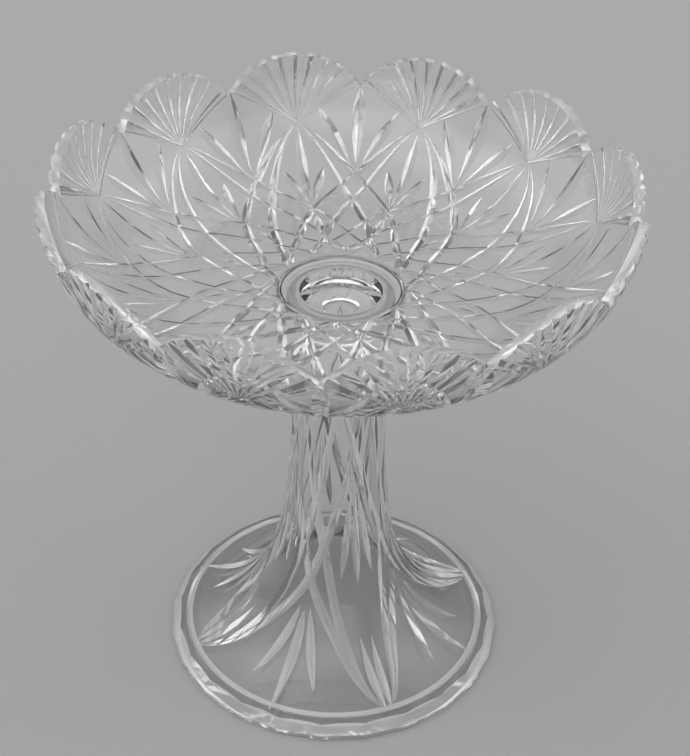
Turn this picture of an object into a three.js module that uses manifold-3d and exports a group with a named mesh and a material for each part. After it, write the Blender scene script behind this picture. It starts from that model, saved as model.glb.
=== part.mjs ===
// Cut-glass compote in two pieces of glass: a scalloped bowl whose peg drops into the open top of
// a hollow pedestal, and a soft clear ring that keeps glass from touching glass.
// Millimetres, +Z up, origin at the centre of the underside of the foot.
import * as THREE from 'three';
import { mergeVertices } from 'three/addons/utils/BufferGeometryUtils.js';
import Module from 'manifold-3d';

// Pedestal: foot
const FOOT_RADIUS = 80; // to the corners between the flats
const FOOT_FLATS = 24;
const FOOT_EDGE_HEIGHT = 5.4;
const FOOT_BEVEL = 2.4; // over the flats
const FOOT_ARRIS = 0.8; // under the flats
const FOOT_REST_WIDTH = 9; // ground ring that stands on the table
const GROOVE_RADIUS = 71.2;
const GROOVE_WIDTH = 3;
const GROOVE_DEPTH = 1.3;
const FLARE_HEIGHT = 8; // top of the foot where the trumpet runs out
const FLARE_REACH = 37.5; // how far in from there the foot stays shallow
const FLARE_RISE = 10.3;

// Pedestal: hollow stem
const PEDESTAL_HEIGHT = 186;
const WAIST_HEIGHT = 145;
const WAIST_RADIUS = 21.3;
const WAIST_REACH = 94.5; // how far below the waist the stem stays slender
const STEM_WALL = 4.2;
const LIP_RADIUS = 23.4;
const SOCKET_RADIUS = 19.6;
const LIP_BEVEL = 1;

// Seat ring
const RING_THICKNESS = 1.2;
const SLEEVE_LENGTH = 8;

// Bowl
const BOSS_OVERHANG = 2; // the boss under the bowl reaches this far past the lip
const BOSS_DEPTH = 5.4;
const BOSS_COVE = 6;
const PEG_LENGTH = 18.8;
const PEG_END_RADIUS = 15;
const PEG_ROUND = 1.5;
const PUNT_RADIUS = 8;
const PUNT_DEPTH = 2;
const FLOOR_RADIUS = 69.5; // flat part of the underside
const WALL_ARC = 56; // radius of the wall's outer curve
const FLOOR_THICKNESS = 5.8;
const RIM_THICKNESS = 4.6;
const BOWL_DEPTH = 54.8; // from the underside to the tops of the scallops
const SCALLOPS = 12;
const SCALLOP_HEIGHT = 15.4;

// Cutting wheel: it leaves a vee this much wider to each side for each millimetre of depth
const WHEEL_FLANK = 1.2;
const WHEEL_LIFT = 2.5; // how far the wheel stands out of the glass it cuts

// Cuts on the bowl: reaches run along the outside, from the axis to the rim
const FAN_RAYS = 9;
const FAN_ANGLE = 118; // degrees, from the first ray's edge to the last one's
const FAN_LENGTH = 34.8; // from the apex, up the wall to the top of its scallop
const FAN_DEPTH = 1.75; // at the top of the scallop
const BOWL_CUT_DEPTH = 1.5;
const BOWL_LINE = [72.5, 42, 33]; // where a line from an apex crosses each half scallop
const NOTCH_LEAF = { root: 97, tip: 137, depth: 2.2 };

// Cuts on the pedestal: reaches run up the outside, from the ring groove
const STEM_REPEATS = 4;
const STEM_TURN = 25.3; // degrees, where the lines gather on the groove
const STEM_CUT_DEPTH = 1.7;
const LOW_LINE = { step: 21, reaches: [0, 35, 60, 92, 123, 155] };
const HIGH_LINE = { step: 15, reaches: [0, 34, 73, 104, 143, 163] };
const FOOT_SPRAY = { root: 41, tip: 0, sideTip: 9, spread: 15.5, depth: 1.9 };
const STEM_SPRAY = { root: 118, tip: 59, sideTip: 63, spread: 16, depth: 1.6 };

// Fits and facets
const CLEARANCE = 0.3; // between pieces that touch or slide
const PEG_GAP = 3; // under the peg, inside the socket
const TRIM = 5; // how far cutters reach past what they cut
const BOWL_SEGMENTS = 3 * SCALLOPS;
const STEM_SEGMENTS = 36;
const STEM_STEPS = 6;
const BOWL_STEPS = 3;
const SCALLOP_STEPS = 6;
const BOWL_LINE_STEPS = 6;
const STEM_LINE_STEPS = 7;
const LINE_TAPER = 0.25; // share of a line over which it runs out at each end
const FAN_STEPS = 2;
const LEAF_STEPS = 2;

// Heights that follow from the stack of pedestal, ring and bowl
const RING_BOTTOM = PEDESTAL_HEIGHT + CLEARANCE;
const RING_TOP = RING_BOTTOM + RING_THICKNESS;
const BOSS_BOTTOM = RING_TOP + CLEARANCE;
const UNDERSIDE = BOSS_BOTTOM + BOSS_DEPTH;
const PEG_BOTTOM = BOSS_BOTTOM - PEG_LENGTH;
const SOCKET_BOTTOM = PEG_BOTTOM - PEG_GAP;
const RIM_TOP = UNDERSIDE + BOWL_DEPTH;
const ARC_CENTRE = UNDERSIDE + WALL_ARC;
const SLEEVE_RADIUS = SOCKET_RADIUS - CLEARANCE;
const SLEEVE_BORE = SLEEVE_RADIUS - RING_THICKNESS;
const PEG_RADIUS = SLEEVE_BORE - CLEARANCE;

// Handles of the trumpet's curve
const FLARE_RADIUS = GROOVE_RADIUS - GROOVE_WIDTH / 2;
const SHALLOW = new THREE.Vector2(FLARE_RADIUS - FLARE_REACH, FLARE_HEIGHT + FLARE_RISE);
const SLENDER = WAIST_HEIGHT - WAIST_REACH;

const { degToRad, radToDeg, clamp } = THREE.MathUtils;
const wasm = await Module();
wasm.setup();

// A closed geometry as a solid: shared corners are merged and empty triangles on the axis dropped.
function solid(geometry) {
  geometry.deleteAttribute('normal');
  geometry.deleteAttribute('uv');
  const merged = mergeVertices(geometry, 1e-4);
  const index = merged.index.array;
  const corners = [];
  for (let i = 0; i < index.length; i += 3) {
    const [a, b, c] = [index[i], index[i + 1], index[i + 2]];
    if (a !== b && b !== c && c !== a) corners.push(a, b, c);
  }
  return new wasm.Manifold(new wasm.Mesh({
    numProp: 3,
    vertProperties: Float32Array.from(merged.attributes.position.array),
    triVerts: Uint32Array.from(corners),
  }));
}

// A profile of radius and height, turned about the Z axis from a starting angle.
function turned(profile, segments, start = 0) {
  const geometry = new THREE.LatheGeometry(profile, segments, start);
  geometry.rotateX(Math.PI / 2);
  return solid(geometry);
}

function mesh(name, body, material) {
  const { vertProperties, triVerts } = body.getMesh();
  const geometry = new THREE.BufferGeometry();
  geometry.setAttribute('position', new THREE.BufferAttribute(vertProperties, 3));
  geometry.setIndex(new THREE.BufferAttribute(triVerts, 1));
  geometry.computeVertexNormals();
  const piece = new THREE.Mesh(geometry, material);
  piece.name = name;
  return piece;
}

// Geometry with the given corners and triangles.
function faceted(corners, triangles) {
  const geometry = new THREE.BufferGeometry();
  geometry.setAttribute('position', new THREE.Float32BufferAttribute(corners, 3));
  geometry.setIndex(triangles);
  return geometry;
}

// The outside of the trumpet, from the ring groove up to the lip.
function drawTrumpet(path) {
  path.lineTo(FLARE_RADIUS, FLARE_HEIGHT);
  path.bezierCurveTo(SHALLOW.x, SHALLOW.y, WAIST_RADIUS, SLENDER, WAIST_RADIUS, WAIST_HEIGHT);
  path.lineTo((2 * WAIST_RADIUS + LIP_RADIUS) / 3, (WAIST_HEIGHT + PEDESTAL_HEIGHT) / 2);
  path.lineTo(LIP_RADIUS, PEDESTAL_HEIGHT - LIP_BEVEL);
}

// The pedestal is one hollow trumpet, open at the socket above and under the foot.
function pedestalProfile() {
  const grooveOut = GROOVE_RADIUS + GROOVE_WIDTH / 2;
  const hollowRadius = FOOT_RADIUS - FOOT_REST_WIDTH;
  const bore = WAIST_RADIUS - STEM_WALL;
  const path = new THREE.Path();
  path.moveTo(hollowRadius, 0);
  path.lineTo(FOOT_RADIUS + TRIM, 0);
  path.lineTo(FOOT_RADIUS + TRIM, FOOT_EDGE_HEIGHT);
  path.lineTo(FOOT_RADIUS, FOOT_EDGE_HEIGHT);
  path.lineTo(grooveOut, FLARE_HEIGHT);
  path.lineTo(GROOVE_RADIUS, FLARE_HEIGHT - GROOVE_DEPTH);
  drawTrumpet(path);
  path.lineTo(LIP_RADIUS - LIP_BEVEL, PEDESTAL_HEIGHT);
  path.lineTo(SOCKET_RADIUS + LIP_BEVEL, PEDESTAL_HEIGHT);
  path.lineTo(SOCKET_RADIUS, PEDESTAL_HEIGHT - LIP_BEVEL);
  path.lineTo(SOCKET_RADIUS, SOCKET_BOTTOM);
  path.lineTo(bore, WAIST_HEIGHT);
  path.bezierCurveTo(bore, SLENDER, SHALLOW.x - STEM_WALL, SHALLOW.y - STEM_WALL, hollowRadius, 0);
  return path.getPoints(STEM_STEPS);
}

// Twenty-four flats with a bevel above and below: everything outside them is ground away.
function footBlank() {
  const height = PEDESTAL_HEIGHT + TRIM;
  const profile = [
    [0, -FOOT_ARRIS],
    [FOOT_RADIUS - 2 * FOOT_ARRIS, -FOOT_ARRIS],
    [FOOT_RADIUS, FOOT_ARRIS],
    [FOOT_RADIUS, FOOT_EDGE_HEIGHT - FOOT_BEVEL],
    [FOOT_RADIUS - 2 * FOOT_BEVEL, FOOT_EDGE_HEIGHT + FOOT_BEVEL],
    [FOOT_RADIUS - 2 * FOOT_BEVEL, height],
    [0, height],
  ].map(([radius, z]) => new THREE.Vector2(radius, z));
  return turned(profile, FOOT_FLATS);
}

function ringProfile() {
  const sleeveBottom = RING_BOTTOM - SLEEVE_LENGTH;
  return [
    [SLEEVE_BORE, sleeveBottom],
    [SLEEVE_RADIUS, sleeveBottom],
    [SLEEVE_RADIUS, RING_BOTTOM],
    [LIP_RADIUS, RING_BOTTOM],
    [LIP_RADIUS, RING_TOP],
    [SLEEVE_BORE, RING_TOP],
    [SLEEVE_BORE, sleeveBottom],
  ].map(([radius, z]) => new THREE.Vector2(radius, z));
}

// The bowl from the polished punt under its peg, out along the underside, up the wall and back in.
function bowlProfile() {
  const pegCorner = PEG_END_RADIUS - PEG_ROUND;
  const pegTaper = RING_BOTTOM - SLEEVE_LENGTH;
  const bossRadius = LIP_RADIUS + BOSS_OVERHANG;
  const floor = UNDERSIDE + FLOOR_THICKNESS;
  const innerArc = WALL_ARC - (FLOOR_THICKNESS + RIM_THICKNESS) / 2;
  const innerCentre = floor + innerArc;
  const innerFloor = FLOOR_RADIUS + WALL_ARC - RIM_THICKNESS - innerArc;
  const wallTop = Math.max(RIM_TOP, ARC_CENTRE, innerCentre) + TRIM;
  const path = new THREE.Path();
  path.moveTo(0, PEG_BOTTOM + PUNT_DEPTH);
  path.quadraticCurveTo(PUNT_RADIUS / 2, PEG_BOTTOM + PUNT_DEPTH, PUNT_RADIUS, PEG_BOTTOM);
  path.lineTo(pegCorner, PEG_BOTTOM);
  path.lineTo(PEG_END_RADIUS, PEG_BOTTOM + PEG_ROUND);
  path.lineTo(PEG_RADIUS, pegTaper);
  path.lineTo(PEG_RADIUS, BOSS_BOTTOM);
  path.lineTo(bossRadius, BOSS_BOTTOM);
  path.quadraticCurveTo(bossRadius, UNDERSIDE, bossRadius + BOSS_COVE, UNDERSIDE);
  path.lineTo(FLOOR_RADIUS, UNDERSIDE);
  path.absarc(FLOOR_RADIUS, ARC_CENTRE, WALL_ARC, -Math.PI / 2, 0, false);
  path.lineTo(FLOOR_RADIUS + WALL_ARC, wallTop);
  path.lineTo(innerFloor + innerArc, wallTop);
  path.lineTo(innerFloor + innerArc, innerCentre);
  path.absarc(innerFloor, innerCentre, innerArc, 0, -Math.PI / 2, true);
  path.lineTo(0, floor);
  return path.getPoints(BOWL_STEPS);
}

// Height of the rim at an angle: a row of circular arches that meet in notches.
function rimHeight(angle) {
  const rimRadius = FLOOR_RADIUS + WALL_ARC - RIM_THICKNESS / 2;
  const pitch = 2 * Math.PI / SCALLOPS;
  const halfWidth = rimRadius * pitch / 2;
  const arch = (halfWidth ** 2 + SCALLOP_HEIGHT ** 2) / (2 * SCALLOP_HEIGHT);
  const along = (angle / pitch - Math.floor(angle / pitch) - 0.5) * 2 * halfWidth;
  return RIM_TOP - arch + Math.sqrt(arch ** 2 - along ** 2);
}

// A collar above the rim whose underside follows the arches: it trims the wall to scallops.
function rimTrimmer() {
  const columns = SCALLOPS * SCALLOP_STEPS;
  const inside = FLOOR_RADIUS;
  const outside = FLOOR_RADIUS + WALL_ARC + TRIM;
  const top = UNDERSIDE + WALL_ARC + BOWL_DEPTH + 2 * TRIM;
  const corners = [];
  const triangles = [];
  for (let i = 0; i < columns; i += 1) {
    const angle = 2 * Math.PI * i / columns;
    const low = rimHeight(angle);
    for (const [radius, z] of [[inside, low], [outside, low], [outside, top], [inside, top]]) {
      corners.push(radius * Math.cos(angle), radius * Math.sin(angle), z);
    }
    const next = (i + 1) % columns;
    for (let side = 0; side < 4; side += 1) {
      const [a, b] = [4 * i + side, 4 * i + (side + 1) % 4];
      const [c, d] = [4 * next + side, 4 * next + (side + 1) % 4];
      triangles.push(a, c, b, b, c, d);
    }
  }
  return solid(faceted(corners, triangles));
}

// Point and outward normal on a turned surface, from its profile's point and upward tangent.
function onTurned(degrees, place, tangent) {
  const up = new THREE.Vector3(0, 0, 1);
  const outward = new THREE.Vector3(1, 0, 0).applyAxisAngle(up, degToRad(degrees));
  const point = outward.clone().multiplyScalar(place.x).addScaledVector(up, place.y);
  const normal = outward.multiplyScalar(tangent.y).addScaledVector(up, -tangent.x);
  return { point, normal };
}

// The underside and wall of the bowl.
function bowlSkin(degrees, reach) {
  const bend = clamp((reach - FLOOR_RADIUS) / WALL_ARC, 0, Math.PI / 2);
  const above = Math.max(0, reach - FLOOR_RADIUS - WALL_ARC * Math.PI / 2);
  const radius = Math.min(reach, FLOOR_RADIUS) + WALL_ARC * Math.sin(bend);
  const height = ARC_CENTRE - WALL_ARC * Math.cos(bend) + above;
  const tangent = new THREE.Vector2(Math.cos(bend), Math.sin(bend));
  return onTurned(degrees, new THREE.Vector2(radius, height), tangent);
}

const trumpet = new THREE.Path();
trumpet.moveTo(FLARE_RADIUS, FLARE_HEIGHT);
drawTrumpet(trumpet);

// The outside of the trumpet.
function stemSkin(degrees, reach) {
  const along = clamp(reach / trumpet.getLength(), 0, 1);
  return onTurned(degrees, trumpet.getPointAt(along), trumpet.getTangentAt(along));
}

// The vee that a wheel cuts along a route of angle, reach and depth, repeated about the axis.
function wheelCut(skin, route, repeats) {
  const corners = [];
  const triangles = [];
  for (let copy = 0; copy < repeats; copy += 1) {
    const first = corners.length / 3;
    const last = route.length - 1;
    const places = route.map(({ angle, reach }) => skin(angle + 360 * copy / repeats, reach));
    places.forEach(({ point, normal }, i) => {
      const ahead = places[Math.min(i + 1, last)].point.clone().sub(places[Math.max(i - 1, 0)].point);
      const half = (route[i].depth + WHEEL_LIFT) * WHEEL_FLANK;
      const across = normal.clone().cross(ahead).setLength(half);
      const crown = point.clone().addScaledVector(normal, WHEEL_LIFT);
      const edge = point.clone().addScaledVector(normal, -route[i].depth);
      corners.push(...crown.clone().add(across), ...edge, ...crown.sub(across));
    });
    triangles.push(first, first + 1, first + 2);
    for (let i = 0; i < last; i += 1) {
      for (let side = 0; side < 3; side += 1) {
        const [a, b] = [first + 3 * i + side, first + 3 * i + (side + 1) % 3];
        triangles.push(b, a, a + 3, b, a + 3, b + 3);
      }
    }
    const end = first + 3 * last;
    triangles.push(end, end + 2, end + 1);
  }
  return solid(faceted(corners, triangles));
}

// A line of the lattice: it leaves an angle to one side and passes the given reaches, step by step.
function latticeLine(angle, turn, reaches, depth, steps) {
  const passes = reaches.map((reach, i) => new THREE.Vector2(angle + turn * i, reach));
  return new THREE.SplineCurve(passes).getPoints(steps).map(({ x, y }, i) => {
    const fromEnd = Math.min(i, steps - i) / steps;
    return { angle: x, reach: y, depth: depth * Math.min(1, fromEnd / LINE_TAPER) };
  });
}

// A leaf from root to tip, pointed at both ends, that may lean to one side.
function leaf(angle, { root, tip, depth }, lean = 0) {
  const route = [];
  for (let i = 0; i <= LEAF_STEPS; i += 1) {
    const along = i / LEAF_STEPS;
    const swell = Math.sin(Math.PI * along);
    route.push({ angle: angle + lean * along, reach: root + (tip - root) * along, depth: depth * swell });
  }
  return route;
}

// Three leaves from one root.
function spray(angle, { root, tip, sideTip, spread, depth }) {
  const sideLeaf = { root, tip: sideTip, depth };
  return [leaf(angle, { root, tip, depth }), leaf(angle, sideLeaf, -spread), leaf(angle, sideLeaf, spread)];
}

// Rays that spread from an apex and run out over the rim, wider all the way.
function fan(angle, apex) {
  const radius = FLOOR_RADIUS + WALL_ARC - RIM_THICKNESS;
  const routes = [];
  for (let ray = 0; ray < FAN_RAYS; ray += 1) {
    const way = degToRad(90 + FAN_ANGLE * ((ray + 0.5) / FAN_RAYS - 0.5));
    const length = FAN_LENGTH + TRIM;
    const route = [];
    for (let i = 0; i <= FAN_STEPS; i += 1) {
      const along = i / FAN_STEPS;
      route.push({
        angle: angle + radToDeg(length * along * Math.cos(way) / radius),
        reach: apex + length * along * Math.sin(way),
        depth: FAN_DEPTH * length * along / FAN_LENGTH,
      });
    }
    routes.push(route);
  }
  return routes;
}

// A fan in each scallop, a leaf under each notch, and lines that cross their way down to the boss.
function bowlCuts() {
  const halfScallop = 180 / SCALLOPS;
  const rimBend = Math.acos(clamp((ARC_CENTRE - RIM_TOP) / WALL_ARC, -1, 1));
  const apex = FLOOR_RADIUS + WALL_ARC * rimBend - FAN_LENGTH;
  const routes = [...fan(halfScallop, apex), leaf(0, NOTCH_LEAF)];
  for (const turn of [-halfScallop, halfScallop]) {
    routes.push(latticeLine(halfScallop, turn, [apex, ...BOWL_LINE], BOWL_CUT_DEPTH, BOWL_LINE_STEPS));
  }
  return routes;
}

// Lines that gather on the ring groove and cross as they climb the stem, with leaves between them.
function stemCuts() {
  const between = STEM_TURN + 180 / STEM_REPEATS;
  const routes = [...spray(between, FOOT_SPRAY), ...spray(STEM_TURN, STEM_SPRAY)];
  for (const { step, reaches } of [LOW_LINE, HIGH_LINE]) {
    for (const turn of [-step, step]) {
      routes.push(latticeLine(STEM_TURN, turn, reaches, STEM_CUT_DEPTH, STEM_LINE_STEPS));
    }
  }
  return routes;
}

function engraved(body, skin, routes, repeats) {
  return routes.reduce((glass, route) => glass.subtract(wheelCut(skin, route, repeats)), body);
}

const crystal = { color: 0xe8edef, roughness: 0.05, metalness: 0, transparent: true, opacity: 0.4 };
const pedestalGlass = new THREE.MeshStandardMaterial(crystal);
const bowlGlass = new THREE.MeshStandardMaterial(crystal);
const softClear = new THREE.MeshStandardMaterial({ color: 0xe4e1d8, roughness: 0.35, metalness: 0 });

const pedestalBlank = turned(pedestalProfile(), STEM_SEGMENTS).intersect(footBlank());
const bowlBlank = turned(bowlProfile(), BOWL_SEGMENTS, Math.PI / SCALLOPS).subtract(rimTrimmer());
const pedestal = engraved(pedestalBlank, stemSkin, stemCuts(), STEM_REPEATS);
const seatRing = turned(ringProfile(), STEM_SEGMENTS);
const bowl = engraved(bowlBlank, bowlSkin, bowlCuts(), SCALLOPS);

const compote = new THREE.Group();
compote.add(mesh('pedestal', pedestal, pedestalGlass));
compote.add(mesh('seat_ring', seatRing, softClear));
compote.add(mesh('bowl', bowl, bowlGlass));

export default compote;
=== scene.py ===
from math import atan2, cos, degrees, hypot, log, pi, radians, sin, sqrt

import bmesh
import bpy
from mathutils import Matrix, Vector
from mathutils.geometry import interpolate_bezier


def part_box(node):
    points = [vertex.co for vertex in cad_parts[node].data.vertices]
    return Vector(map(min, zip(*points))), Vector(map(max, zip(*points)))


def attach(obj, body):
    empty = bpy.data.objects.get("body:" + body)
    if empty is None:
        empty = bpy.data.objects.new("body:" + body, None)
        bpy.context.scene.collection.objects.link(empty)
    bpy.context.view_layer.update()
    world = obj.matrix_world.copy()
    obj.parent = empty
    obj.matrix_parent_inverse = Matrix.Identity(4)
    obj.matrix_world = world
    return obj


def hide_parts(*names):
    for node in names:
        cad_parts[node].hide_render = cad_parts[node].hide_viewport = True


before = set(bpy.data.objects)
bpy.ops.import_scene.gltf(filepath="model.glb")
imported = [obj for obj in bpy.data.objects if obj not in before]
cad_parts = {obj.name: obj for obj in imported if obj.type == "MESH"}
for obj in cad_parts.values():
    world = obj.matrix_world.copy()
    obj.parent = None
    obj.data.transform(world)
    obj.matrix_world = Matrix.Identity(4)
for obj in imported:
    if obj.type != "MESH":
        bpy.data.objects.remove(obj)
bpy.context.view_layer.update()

# Pedestal
# The pedestal is one casting of clear crystal: a hollow trumpet stem that spreads into a round foot.
# Its outside is cut with crossing mitre lines and leaves, a ring groove, and flats round the edge.
# The glass is polished, and the cuts are left slightly cloudy or satin.
MM = 0.001
pedestal_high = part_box("pedestal")[1]
foot_radius = pedestal_high[0]
pedestal_height = pedestal_high[2]
foot_edge_height = 5.4 * MM
foot_bevel = 2.4 * MM
foot_arris = 0.8 * MM
foot_rest_width = 9 * MM
foot_flats = 24
groove_radius = 71.2 * MM
groove_width = 3 * MM
groove_depth = 1.3 * MM
groove_knee = 0.35 * groove_width / 2
groove_shoulder = 0.82 * groove_depth
flare_height = 8 * MM
flare_reach = 37.5 * MM
flare_rise = 10.3 * MM
waist_height = 145 * MM
waist_radius = 21.3 * MM
waist_reach = 94.5 * MM
stem_wall = 4.2 * MM
lip_radius = 23.4 * MM
lip_bevel = 1 * MM
socket_radius = 19.6 * MM
socket_bottom = 166 * MM
grinding_room = 5 * MM
turning_steps = 240
merge_distance = 0.01 * MM
wheel_flank = 1.2
wheel_lift = 0.6 * MM
line_runout = 0.06
leaf_runout = 0.08
leaf_fullness = 0.8
crisp_angle = 14
POLISHED, CLEAR_CUT, SATIN_CUT = range(3)


def curve(start, first_handle, second_handle, end, steps):
    """Points of a cubic curve in the plane of radius and height."""
    corners = [Vector((r, z, 0)) for r, z in (start, first_handle, second_handle, end)]
    return [(p.x, p.y) for p in interpolate_bezier(*corners, steps)]


def piece_from(bm, name):
    """A scene object that takes over a finished bmesh."""
    mesh = bpy.data.meshes.new(name)
    bm.to_mesh(mesh)
    bm.free()
    piece = bpy.data.objects.new(name, mesh)
    bpy.context.scene.collection.objects.link(piece)
    return piece


def turned(name, outline, closed):
    """An outline of radius and height, spun once about the upright axis into a closed solid."""
    bm = bmesh.new()
    points = [bm.verts.new((r, 0, z)) for r, z in outline]
    edges = [bm.edges.new(pair) for pair in zip(points, points[1:])]
    if closed:
        edges.append(bm.edges.new((points[-1], points[0])))
    bmesh.ops.spin(
        bm, geom=points + edges, axis=(0, 0, 1), cent=(0, 0, 0),
        angle=2 * pi, steps=turning_steps, use_merge=True,
    )
    bmesh.ops.remove_doubles(bm, verts=bm.verts, dist=merge_distance)
    bmesh.ops.recalc_face_normals(bm, faces=bm.faces)
    return piece_from(bm, name)


def carve(piece, tool, finish, operation="DIFFERENCE"):
    """Cuts a piece with a tool, whose faces leave their own finish, and throws the tool away."""
    for polygon in tool.data.polygons:
        polygon.material_index = finish
    modifier = piece.modifiers.new("carve", "BOOLEAN")
    modifier.solver = "MANIFOLD"
    modifier.operation = operation
    modifier.material_mode = "INDEX"
    modifier.object = tool
    shape = piece.evaluated_get(bpy.context.evaluated_depsgraph_get())
    blank = piece.data
    piece.data = bpy.data.meshes.new_from_object(shape)
    piece.modifiers.clear()
    bpy.data.meshes.remove(blank)
    bpy.data.objects.remove(tool)


def drawn_on(bm, face, keep):
    """Draws a face on into a further length of solid. The face itself stays only as an end cap."""
    grown = bmesh.ops.extrude_face_region(bm, geom=[face])["geom"]
    if not keep:
        bmesh.ops.delete(bm, geom=[face], context="FACES_ONLY")
    return next(item for item in grown if isinstance(item, bmesh.types.BMFace))


def mitre_wheel(bm, skin, route, flank):
    """A vee-shaped tool along a route of (angle, reach, depth) on a skin, as a wheel cuts it."""
    places = [skin(angle, reach) for angle, reach, depth in route]
    end = None
    for i, (point, normal) in enumerate(places):
        ahead = places[min(i + 1, len(places) - 1)][0] - places[max(i - 1, 0)][0]
        depth = route[i][2]
        crown = point + normal * wheel_lift
        across = normal.cross(ahead).normalized() * (depth + wheel_lift) * flank
        corners = [crown + across, crown - across, point - normal * depth]
        if end is None:
            end = bm.faces.new([bm.verts.new(corner) for corner in corners])
        else:
            end = drawn_on(bm, end, keep=i == 1)
            for vert, corner in zip(end.verts, corners):
                vert.co = corner
    bmesh.ops.recalc_face_normals(bm, faces=bm.faces)


def engrave(piece, skin, strokes, copies, flank, finish):
    """Cuts strokes into a piece one after another, each repeated about the upright axis."""
    for route in strokes:
        bm = bmesh.new()
        mitre_wheel(bm, skin, route, flank)
        bmesh.ops.spin(
            bm, geom=bm.verts[:] + bm.edges[:] + bm.faces[:], axis=(0, 0, 1), cent=(0, 0, 0),
            angle=2 * pi * (copies - 1) / copies, steps=copies - 1, use_duplicate=True,
        )
        carve(piece, piece_from(bm, "mitre_wheel"), finish)


def flow(values, at):
    """A smooth run through evenly spaced values, read at a place counted in spaces."""
    i = min(int(at), len(values) - 2)
    t = at - i
    a = values[max(i - 1, 0)]
    b, c = values[i], values[i + 1]
    d = values[min(i + 2, len(values) - 1)]
    return b + t * ((c - a) / 2 + t * (a - 2.5 * b + 2 * c - d / 2 + t * (1.5 * (b - c) + (d - a) / 2)))


def long_cut(start, spacing, reaches, depth, steps, fade):
    """A line from a start angle that passes the given reaches in turn, a spacing of angle apart."""
    last = len(reaches) - 1
    route = []
    for i in range(steps + 1):
        at = last * i / steps
        ends = min(1, i / (fade[0] * steps), (steps - i) / (fade[1] * steps))
        cut = depth * ((1 + line_runout) * ends - line_runout)
        route.append((start + spacing * at, flow(reaches, at), cut))
    return route


def leaf(turn, side, root, tip, depth, swell=0.62, steps=10):
    """A leaf from root to tip, each an angle off a turn and a reach, and widest at the swell."""
    power = log(0.5) / log(swell)
    route = []
    for i in range(steps + 1):
        t = i / steps
        full = sin(pi * t ** power) ** leaf_fullness if 0 < t < 1 else 0
        route.append((
            turn + side * (root[0] + (tip[0] - root[0]) * t),
            root[1] + (tip[1] - root[1]) * t,
            depth * ((1 + leaf_runout) * full - leaf_runout),
        ))
    return route


flare_radius = groove_radius - groove_width / 2
hollow_radius = foot_radius - foot_rest_width
bore_radius = waist_radius - stem_wall
shallow = (flare_radius - flare_reach, flare_height + flare_rise)
slender = waist_height - waist_reach
lip_edge = pedestal_height - lip_bevel
neck = (waist_height + pedestal_height) / 2

trumpet = curve(
    (flare_radius, flare_height), shallow,
    (waist_radius, slender), (waist_radius, waist_height), steps=60)
throat = curve(
    (waist_radius, waist_height), (waist_radius, neck),
    (waist_radius, neck), (lip_radius, lip_edge), steps=16)
inside = curve(
    (bore_radius, waist_height), (bore_radius, slender),
    (shallow[0] - stem_wall, shallow[1] - stem_wall), (hollow_radius, 0), steps=40)
groove = [
    (groove_radius + groove_width / 2, flare_height),
    (groove_radius + groove_knee, flare_height - groove_shoulder),
    (groove_radius, flare_height - groove_depth),
    (groove_radius - groove_knee, flare_height - groove_shoulder),
]
lip = [
    (lip_radius - lip_bevel, pedestal_height),
    (socket_radius + lip_bevel, pedestal_height),
    (socket_radius, lip_edge),
    (socket_radius, socket_bottom),
]
foot_rim = [
    (foot_radius + grinding_room, 0),
    (foot_radius + grinding_room, foot_edge_height),
    (foot_radius, foot_edge_height),
]
pedestal = turned("cut_pedestal", foot_rim + groove + trumpet + throat[1:] + lip + inside, closed=True)
for polygon in pedestal.data.polygons:
    radius = hypot(polygon.center.x, polygon.center.y)
    if polygon.normal.z > 0 and abs(radius - groove_radius) < groove_width / 2:
        polygon.material_index = SATIN_CUT

grinder_steps = [
    (foot_radius - 2 * foot_arris, -foot_arris),
    (foot_radius, foot_arris),
    (foot_radius, foot_edge_height - foot_bevel),
    (foot_radius - 2 * foot_bevel, foot_edge_height + foot_bevel),
    (foot_radius - 2 * foot_bevel, pedestal_height + foot_bevel),
]
bm = bmesh.new()
bmesh.ops.create_circle(bm, cap_ends=True, segments=foot_flats, radius=grinder_steps[0][0])
bmesh.ops.translate(bm, verts=bm.verts, vec=(0, 0, grinder_steps[0][1]))
bm.faces.ensure_lookup_table()
top = bm.faces[0]
for i, (radius, z) in enumerate(grinder_steps[1:]):
    top = drawn_on(bm, top, keep=i == 0)
    for vert in top.verts:
        outward = Vector((vert.co.x, vert.co.y, 0)).normalized() * radius
        vert.co = (outward.x, outward.y, z)
bmesh.ops.recalc_face_normals(bm, faces=bm.faces)
carve(pedestal, piece_from(bm, "edge_grinder"), SATIN_CUT, "INTERSECT")

stem_line = trumpet + throat[1:]
stem_length = [0.0]
for near, far in zip(stem_line, stem_line[1:]):
    stem_length.append(stem_length[-1] + hypot(far[0] - near[0], far[1] - near[1]))


def stem_skin(angle, reach):
    """Point and normal on the outside of the stem, at an angle and a way up from the groove."""
    i = 0
    while i < len(stem_line) - 2 and stem_length[i + 1] < reach:
        i += 1
    (r0, z0), (r1, z1) = stem_line[i], stem_line[i + 1]
    run = stem_length[i + 1] - stem_length[i]
    t = (reach - stem_length[i]) / run
    r = r0 + (r1 - r0) * t
    z = z0 + (z1 - z0) * t
    outward = Vector((cos(radians(angle)), sin(radians(angle)), 0))
    normal = outward * ((z1 - z0) / run) - Vector((0, 0, 1)) * ((r1 - r0) / run)
    return outward * r + Vector((0, 0, z)), normal.normalized()


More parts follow.
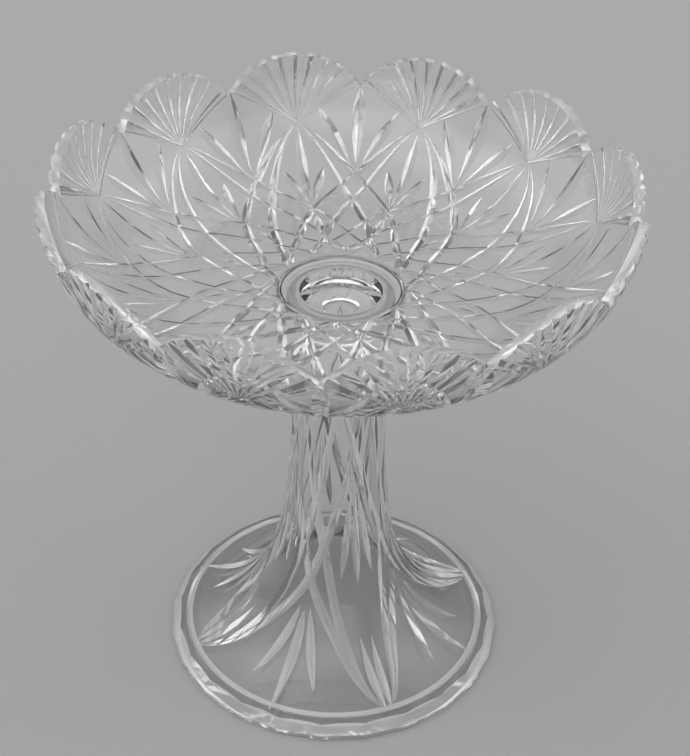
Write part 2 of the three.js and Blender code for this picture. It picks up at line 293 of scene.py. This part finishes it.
stem_repeats = 4
stem_turn = 25.3
spray_turn = stem_turn + 180 / stem_repeats
stem_line_depth = 1.8 * MM
stem_line_fade = (0.16, 0.3)
wide_line_spacing = 21
wide_line = [r * MM for r in (-2.5, 35, 60, 92, 123, 155, 177)]
steep_line_spacing = 15
steep_line = [r * MM for r in (-2.5, 34, 73, 104, 143, 175)]
stem_leaf = {"root": (0, 117 * MM), "tip": (0, 59 * MM), "depth": 1.7 * MM}
stem_side_leaf = {"root": (2, 119 * MM), "tip": (16, 63 * MM), "depth": 1.6 * MM}
bundle_leaf = {"root": (4, 37 * MM), "tip": (1, -2 * MM), "depth": 1.7 * MM}
foot_leaf = {"root": (0, 47 * MM), "tip": (0, -4 * MM), "depth": 2.2 * MM, "swell": 0.42}
foot_side_leaf = {"root": (4, 49 * MM), "tip": (15.5, 8 * MM), "depth": 1.9 * MM, "swell": 0.5}

stem_strokes = []
foot_strokes = []
for side in (-1, 1):
    for spacing, reaches in ((wide_line_spacing, wide_line), (steep_line_spacing, steep_line)):
        stem_strokes.append(long_cut(
            stem_turn, side * spacing, reaches, stem_line_depth, steps=48, fade=stem_line_fade))
    stem_strokes.append(leaf(stem_turn, side, **stem_side_leaf))
    foot_strokes.append(leaf(stem_turn, side, **bundle_leaf))
    foot_strokes.append(leaf(spray_turn, side, **foot_side_leaf))
stem_strokes.append(leaf(stem_turn, 1, **stem_leaf))
foot_strokes.append(leaf(spray_turn, 1, **foot_leaf))
engrave(pedestal, stem_skin, stem_strokes, stem_repeats, wheel_flank, CLEAR_CUT)
engrave(pedestal, stem_skin, foot_strokes, stem_repeats, wheel_flank, SATIN_CUT)


def hand_finish():
    """A node group for surfaces worked by hand: a gloss that wanders and a slight unevenness."""
    group = bpy.data.node_groups.new("hand_finish", "ShaderNodeTree")
    for name in ("Grain", "Smoothest", "Roughest"):
        group.interface.new_socket(name, in_out="INPUT", socket_type="NodeSocketFloat")
    for name in ("Roughness", "Height"):
        group.interface.new_socket(name, in_out="OUTPUT", socket_type="NodeSocketFloat")
    inlet = group.nodes.new("NodeGroupInput")
    outlet = group.nodes.new("NodeGroupOutput")
    place = group.nodes.new("ShaderNodeTexCoord")
    noise = group.nodes.new("ShaderNodeTexNoise")
    gloss = group.nodes.new("ShaderNodeMapRange")
    noise.inputs["Detail"].default_value = 3
    gloss.inputs["From Min"].default_value = 0.3
    gloss.inputs["From Max"].default_value = 0.7
    group.links.new(place.outputs["Object"], noise.inputs["Vector"])
    group.links.new(inlet.outputs["Grain"], noise.inputs["Scale"])
    group.links.new(noise.outputs["Fac"], gloss.inputs["Value"])
    group.links.new(inlet.outputs["Smoothest"], gloss.inputs["To Min"])
    group.links.new(inlet.outputs["Roughest"], gloss.inputs["To Max"])
    group.links.new(gloss.outputs["Result"], outlet.inputs["Roughness"])
    group.links.new(noise.outputs["Fac"], outlet.inputs["Height"])
    return group


worked_by_hand = hand_finish()


def clear_material(name, colour, ior, clarity, grain, gloss, relief):
    """A clear material that bends light. Its gloss runs between two roughnesses, over a slight relief."""
    material = bpy.data.materials.new(name)
    material.use_nodes = True
    nodes = material.node_tree.nodes
    links = material.node_tree.links
    shader = nodes["Principled BSDF"]
    shader.inputs["Base Color"].default_value = (*colour, 1)
    shader.inputs["IOR"].default_value = ior
    shader.inputs["Transmission Weight"].default_value = clarity
    surface = nodes.new("ShaderNodeGroup")
    surface.node_tree = worked_by_hand
    surface.inputs["Grain"].default_value = grain
    surface.inputs["Smoothest"].default_value = gloss[0]
    surface.inputs["Roughest"].default_value = gloss[1]
    bump = nodes.new("ShaderNodeBump")
    bump.inputs["Distance"].default_value = relief
    links.new(surface.outputs["Roughness"], shader.inputs["Roughness"])
    links.new(surface.outputs["Height"], bump.inputs["Height"])
    links.new(bump.outputs["Normal"], shader.inputs["Normal"])
    return material


def dress(piece, finishes):
    """Gives a piece its finishes by the marks on its faces, and keeps cut edges crisp."""
    marks = [polygon.material_index for polygon in piece.data.polygons]
    piece.data.materials.clear()
    for mark in sorted(finishes):
        piece.data.materials.append(finishes[mark])
    for polygon, mark in zip(piece.data.polygons, marks):
        polygon.use_smooth = True
        polygon.material_index = mark
    piece.data.set_sharp_from_angle(angle=radians(crisp_angle))


crystal = (0.988, 0.993, 0.997)
crystal_ior = 1.55
crystal_finishes = {
    POLISHED: clear_material(
        "polished_crystal", crystal, crystal_ior,
        clarity=1.0, grain=22, gloss=(0.0, 0.015), relief=0.3 * MM),
    CLEAR_CUT: clear_material(
        "clear_cut_crystal", crystal, crystal_ior,
        clarity=0.8, grain=260, gloss=(0.02, 0.07), relief=0.03 * MM),
    SATIN_CUT: clear_material(
        "satin_cut_crystal", crystal, crystal_ior,
        clarity=0.7, grain=700, gloss=(0.03, 0.1), relief=0.02 * MM),
}
dress(pedestal, crystal_finishes)
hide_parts("pedestal")
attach(pedestal, "pedestal")


# Seat ring
# The seat ring is a soft clear vinyl collar: a washer that the bowl's boss rests on, with a short
# sleeve that keeps the peg central in the socket. It lies loose on the pedestal's lip.
ring_low, ring_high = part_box("seat_ring")
ring_thickness = 1.2 * MM
ring_gap = 0.3 * MM
sleeve_radius = socket_radius - ring_gap
sleeve_bore = sleeve_radius - ring_thickness
ring_bottom = ring_high[2] - ring_thickness
washer_radius = ring_high[0]
vinyl = (0.97, 0.97, 0.96)
vinyl_ior = 1.5
seat_ring = turned("soft_seat_ring", [
    (sleeve_bore, ring_low[2]), (sleeve_radius, ring_low[2]), (sleeve_radius, ring_bottom),
    (washer_radius, ring_bottom), (washer_radius, ring_high[2]), (sleeve_bore, ring_high[2]),
], closed=True)
dress(seat_ring, {
    POLISHED: clear_material(
        "clear_vinyl", vinyl, vinyl_ior, clarity=0.8, grain=140, gloss=(0.04, 0.14), relief=0.02 * MM),
})
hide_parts("seat_ring")
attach(seat_ring, "seat_ring")


# Bowl
# The bowl is one blank of clear crystal with a solid peg under it. Its rim is ground to a row of
# scallops, and its outside is cut with a fan in each scallop, a lattice of mitre lines and leaves.
# It stands loose on the seat ring, with its peg in the socket.
bowl_low, bowl_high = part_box("bowl")
peg_bottom = bowl_low[2]
rim_top = bowl_high[2]
boss_bottom = ring_high[2] + ring_gap
boss_overhang = 2 * MM
boss_radius = lip_radius + boss_overhang
boss_edge = 1.2 * MM
boss_depth = 5.4 * MM
boss_cove = 6 * MM
cove_handle = 1 * MM
cove_bend = 0.3 * boss_cove
peg_radius = sleeve_bore - ring_gap
peg_end_radius = 15 * MM
peg_round = 1.5 * MM
punt_radius = 8 * MM
punt_depth = 2 * MM
punt_crown = 0.4 * punt_radius
punt_brow = (0.8 * punt_radius, peg_bottom + 0.35 * punt_depth)
floor_radius = 69.0 * MM
wall_arc = 56 * MM
wall_steps = 44
floor_thickness = 5.8 * MM
rim_thickness = 4.6 * MM
underside_rings = [r * MM for r in (38, 46, 54, 62)]
floor_rings = [r * MM for r in (54, 38, 22, 8)]


def arc(centre, radius, start, end, steps):
    """Points of a circular arc in the plane of radius and height, with angles in degrees."""
    turn = [radians(start + (end - start) * i / steps) for i in range(steps + 1)]
    return [(centre[0] + radius * cos(a), centre[1] + radius * sin(a)) for a in turn]


underside = boss_bottom + boss_depth
floor_height = underside + floor_thickness
arc_centre = underside + wall_arc
inner_arc = wall_arc - (floor_thickness + rim_thickness) / 2
inner_centre = floor_height + inner_arc
inner_floor = floor_radius + wall_arc - rim_thickness - inner_arc
wall_top = arc_centre + grinding_room
punt_top = peg_bottom + punt_depth
outline = curve((0, punt_top), (punt_crown, punt_top), punt_brow, (punt_radius, peg_bottom), steps=8)
outline += arc((peg_end_radius - peg_round, peg_bottom + peg_round), peg_round, -90, 0, steps=6)
outline += [(peg_radius, ring_low[2]), (peg_radius, boss_bottom), (boss_radius, boss_bottom)]
outline += curve(
    (boss_radius, boss_bottom + boss_edge), (boss_radius, underside - cove_handle),
    (boss_radius + cove_bend, underside), (boss_radius + boss_cove, underside), steps=10)
outline += [(r, underside) for r in underside_rings]
outline += arc((floor_radius, arc_centre), wall_arc, -90, 0, wall_steps)
outline += [(floor_radius + wall_arc, wall_top), (inner_floor + inner_arc, wall_top)]
outline += arc((inner_floor, inner_centre), inner_arc, 0, -90, wall_steps)
outline += [(r, floor_height) for r in floor_rings]
outline += [(0, floor_height)]
bowl = turned("cut_bowl", outline, closed=False)

scallops = 12
scallop_height = 15.4 * MM
scallop_steps = 24
rim_radius = floor_radius + wall_arc - rim_thickness / 2
half_scallop = rim_radius * pi / scallops
arch = (half_scallop ** 2 + scallop_height ** 2) / (2 * scallop_height)
collar_height = 20 * MM
collar_radii = (floor_radius, floor_radius + wall_arc + grinding_room)
bm = bmesh.new()
points = [bm.verts.new((r, 0, rim_top)) for r in collar_radii]
points += [bm.verts.new((r, 0, rim_top + collar_height)) for r in reversed(collar_radii)]
edges = [bm.edges.new((points[i - 1], points[i])) for i in range(4)]
bmesh.ops.spin(
    bm, geom=points + edges, axis=(0, 0, 1), cent=(0, 0, 0),
    angle=2 * pi, steps=scallops * scallop_steps, use_merge=True,
)
for vert in bm.verts:
    if vert.co.z < rim_top + collar_height / 2:
        turn = atan2(vert.co.y, vert.co.x) / (2 * pi / scallops)
        along = (turn % 1 - 0.5) * 2 * half_scallop
        vert.co.z = rim_top - arch + sqrt(arch ** 2 - along ** 2)
bmesh.ops.recalc_face_normals(bm, faces=bm.faces)
carve(bowl, piece_from(bm, "rim_grinder"), SATIN_CUT)


def bowl_skin(angle, reach):
    """Point and normal on the outside of the bowl, at an angle and a way out from the axis."""
    bend = max(0, reach - floor_radius) / wall_arc
    outward = Vector((cos(radians(angle)), sin(radians(angle)), 0))
    normal = outward * sin(bend) - Vector((0, 0, 1)) * cos(bend)
    r = min(reach, floor_radius) + wall_arc * sin(bend)
    return outward * r + Vector((0, 0, arc_centre - wall_arc * cos(bend))), normal


fan_turn = 180 / scallops
apex_reach = 121.5 * MM
notch_reach = 140.6 * MM
fan_rays = 9
fan_angle = 118
fan_length = 34.8 * MM
fan_depth = 1.4 * MM
fan_flank = 1.5
fan_overrun = 11 * MM
fan_radius = rim_radius - rim_thickness / 2
fan_steps = 8
border_depth = 0.4 * MM
fan_strokes = []
for i in range(fan_rays):
    way = radians(90 + fan_angle * ((i + 0.5) / fan_rays - 0.5))
    route = []
    for step in range(fan_steps + 1):
        along = (fan_length + fan_overrun) * step / fan_steps
        angle = fan_turn + degrees(along * cos(way) / fan_radius)
        route.append((angle, apex_reach + along * sin(way), fan_depth * along / fan_length))
    fan_strokes.append(route)
for side in (-1, 1):
    border = []
    for step in range(fan_steps + 1):
        share = step / fan_steps
        reach = apex_reach + (notch_reach - apex_reach) * share
        border.append((fan_turn * (1 + side * share), reach, border_depth))
    fan_strokes.append(border)
engrave(bowl, bowl_skin, fan_strokes, scallops, fan_flank, CLEAR_CUT)

lattice_depth = 1.5 * MM
wide_lattice = [apex_reach] + [r * MM for r in (92.3, 65, 43, 33.7, 28)]
steep_lattice = [apex_reach] + [r * MM for r in (72.5, 41.5, 28.5)]
wide_lattice_fade = (0.16, 0.06)
steep_lattice_fade = (0.2, 0.08)
notch_leaf = {"root": (0, 95 * MM), "tip": (0, 140.5 * MM), "depth": 2.7 * MM}
notch_side_leaf = {"root": (0.7, 95 * MM), "tip": (9.7, 128.5 * MM), "depth": 2.2 * MM}
apex_leaf = {"root": (0, 66.5 * MM), "tip": (0, 120 * MM), "depth": 2.0 * MM}
apex_side_leaf = {"root": (0.7, 69.5 * MM), "tip": (5.8, 97 * MM), "depth": 1.8 * MM}
floor_leaf = {"root": (0, 44.5 * MM), "tip": (0, 60 * MM), "depth": 1.6 * MM, "swell": 0.5}
boss_leaf = {"root": (0, 31.5 * MM), "tip": (0, 41 * MM), "depth": 1.3 * MM, "swell": 0.5}

lattice_strokes = []
for side in (-1, 1):
    lattice_strokes.append(long_cut(
        fan_turn, side * fan_turn, wide_lattice, lattice_depth, steps=60, fade=wide_lattice_fade))
    lattice_strokes.append(long_cut(
        fan_turn, side * fan_turn, steep_lattice, lattice_depth, steps=48, fade=steep_lattice_fade))
    lattice_strokes.append(leaf(0, side, **notch_side_leaf))
    lattice_strokes.append(leaf(fan_turn, side, **apex_side_leaf))
lattice_strokes.append(leaf(0, 1, **notch_leaf))
for upright_leaf in (apex_leaf, floor_leaf, boss_leaf):
    lattice_strokes.append(leaf(fan_turn, 1, **upright_leaf))
engrave(bowl, bowl_skin, lattice_strokes, scallops, wheel_flank, CLEAR_CUT)

dress(bowl, crystal_finishes)
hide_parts("bowl")
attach(bowl, "bowl")


# Floor
# The floor is a wide round sheet, painted a plain pale grey without shine, on which the foot stands.
# It reaches far enough out for its edge to stay out of every view.
floor_reach = 40
floor_grey = (0.35, 0.35, 0.35)
floor_roughness = 0.9
bm = bmesh.new()
bmesh.ops.create_circle(bm, cap_ends=True, segments=96, radius=floor_reach)
floor = piece_from(bm, "studio_floor")
floor_paint = bpy.data.materials.new("pale_floor")
floor_paint.use_nodes = True
paint = floor_paint.node_tree.nodes["Principled BSDF"]
paint.inputs["Base Color"].default_value = (*floor_grey, 1)
paint.inputs["Roughness"].default_value = floor_roughness
floor.data.materials.append(floor_paint)


# Camera and light
# The camera looks down on the bowl from the front. A studio dome lights the glass: it is dim near the
# floor and bright overhead, with a lamp above and soft panels in front and at both sides, whose light
# the cuts pick up.
view_height = 566.1 * MM
view_distance = 574.7 * MM
view_turn = 0.0574
view_pan = 0.0046
view_tilt = 0.6289
view_roll = 0.0258
view_lens = 76.14
camera_data = bpy.data.cameras.new("photo_camera")
camera_data.lens = view_lens
camera = bpy.data.objects.new("photo_camera", camera_data)
camera.matrix_world = (
    Matrix.Translation((view_distance * sin(view_turn), -view_distance * cos(view_turn), view_height))
    @ Matrix.Rotation(view_turn - view_pan, 4, "Z")
    @ Matrix.Rotation(pi / 2 - view_tilt, 4, "X")
    @ Matrix.Rotation(view_roll, 4, "Z")
)
bpy.context.scene.collection.objects.link(camera)
bpy.context.scene.camera = camera

low_light = (0.28, 0.28, 0.29)
side_light = (0.4, 0.4, 0.41)
top_light = (0.94, 0.95, 0.96)
side_band = (0.1, 0.48)
top_band = 0.62
world = bpy.data.worlds.new("studio_dome")
world.use_nodes = True
nodes = world.node_tree.nodes
links = world.node_tree.links
direction = nodes.new("ShaderNodeTexCoord")
split = nodes.new("ShaderNodeSeparateXYZ")
dome = nodes.new("ShaderNodeValToRGB")
links.new(direction.outputs["Generated"], split.inputs[0])
links.new(split.outputs["Z"], dome.inputs["Fac"])
bands = dome.color_ramp.elements
bands[0].position = 0.0
bands[0].color = (*low_light, 1)
bands[1].position = top_band
bands[1].color = (*top_light, 1)
for height in side_band:
    bands.new(height).color = (*side_light, 1)


def soft_patch(light, name, towards, inner, outer, strength):
    """Adds a round glow to the light of the dome, with a soft edge between two angles in degrees."""
    facing = nodes.new("ShaderNodeVectorMath")
    facing.operation = "DOT_PRODUCT"
    facing.label = name
    facing.inputs[1].default_value = Vector(towards).normalized()
    glow = nodes.new("ShaderNodeMapRange")
    glow.interpolation_type = "SMOOTHSTEP"
    glow.inputs["From Min"].default_value = cos(radians(outer))
    glow.inputs["From Max"].default_value = cos(radians(inner))
    glow.inputs["To Max"].default_value = strength
    total = nodes.new("ShaderNodeVectorMath")
    links.new(direction.outputs["Generated"], facing.inputs[0])
    links.new(facing.outputs["Value"], glow.inputs["Value"])
    links.new(light, total.inputs[0])
    links.new(glow.outputs["Result"], total.inputs[1])
    return total.outputs["Vector"]


light = dome.outputs["Color"]
light = soft_patch(light, "lamp", (-0.45, -0.2, 0.87), inner=12, outer=26, strength=0.7)
light = soft_patch(light, "front_panel", (-0.1, -0.95, 0.3), inner=25, outer=55, strength=0.65)
light = soft_patch(light, "left_panel", (-0.95, 0.1, 0.3), inner=20, outer=45, strength=0.65)
light = soft_patch(light, "right_panel", (0.95, 0.1, 0.3), inner=20, outer=45, strength=0.65)
links.new(light, nodes["Background"].inputs["Color"])
bpy.context.scene.world = world
bpy.context.scene.view_settings.view_transform = "Standard"
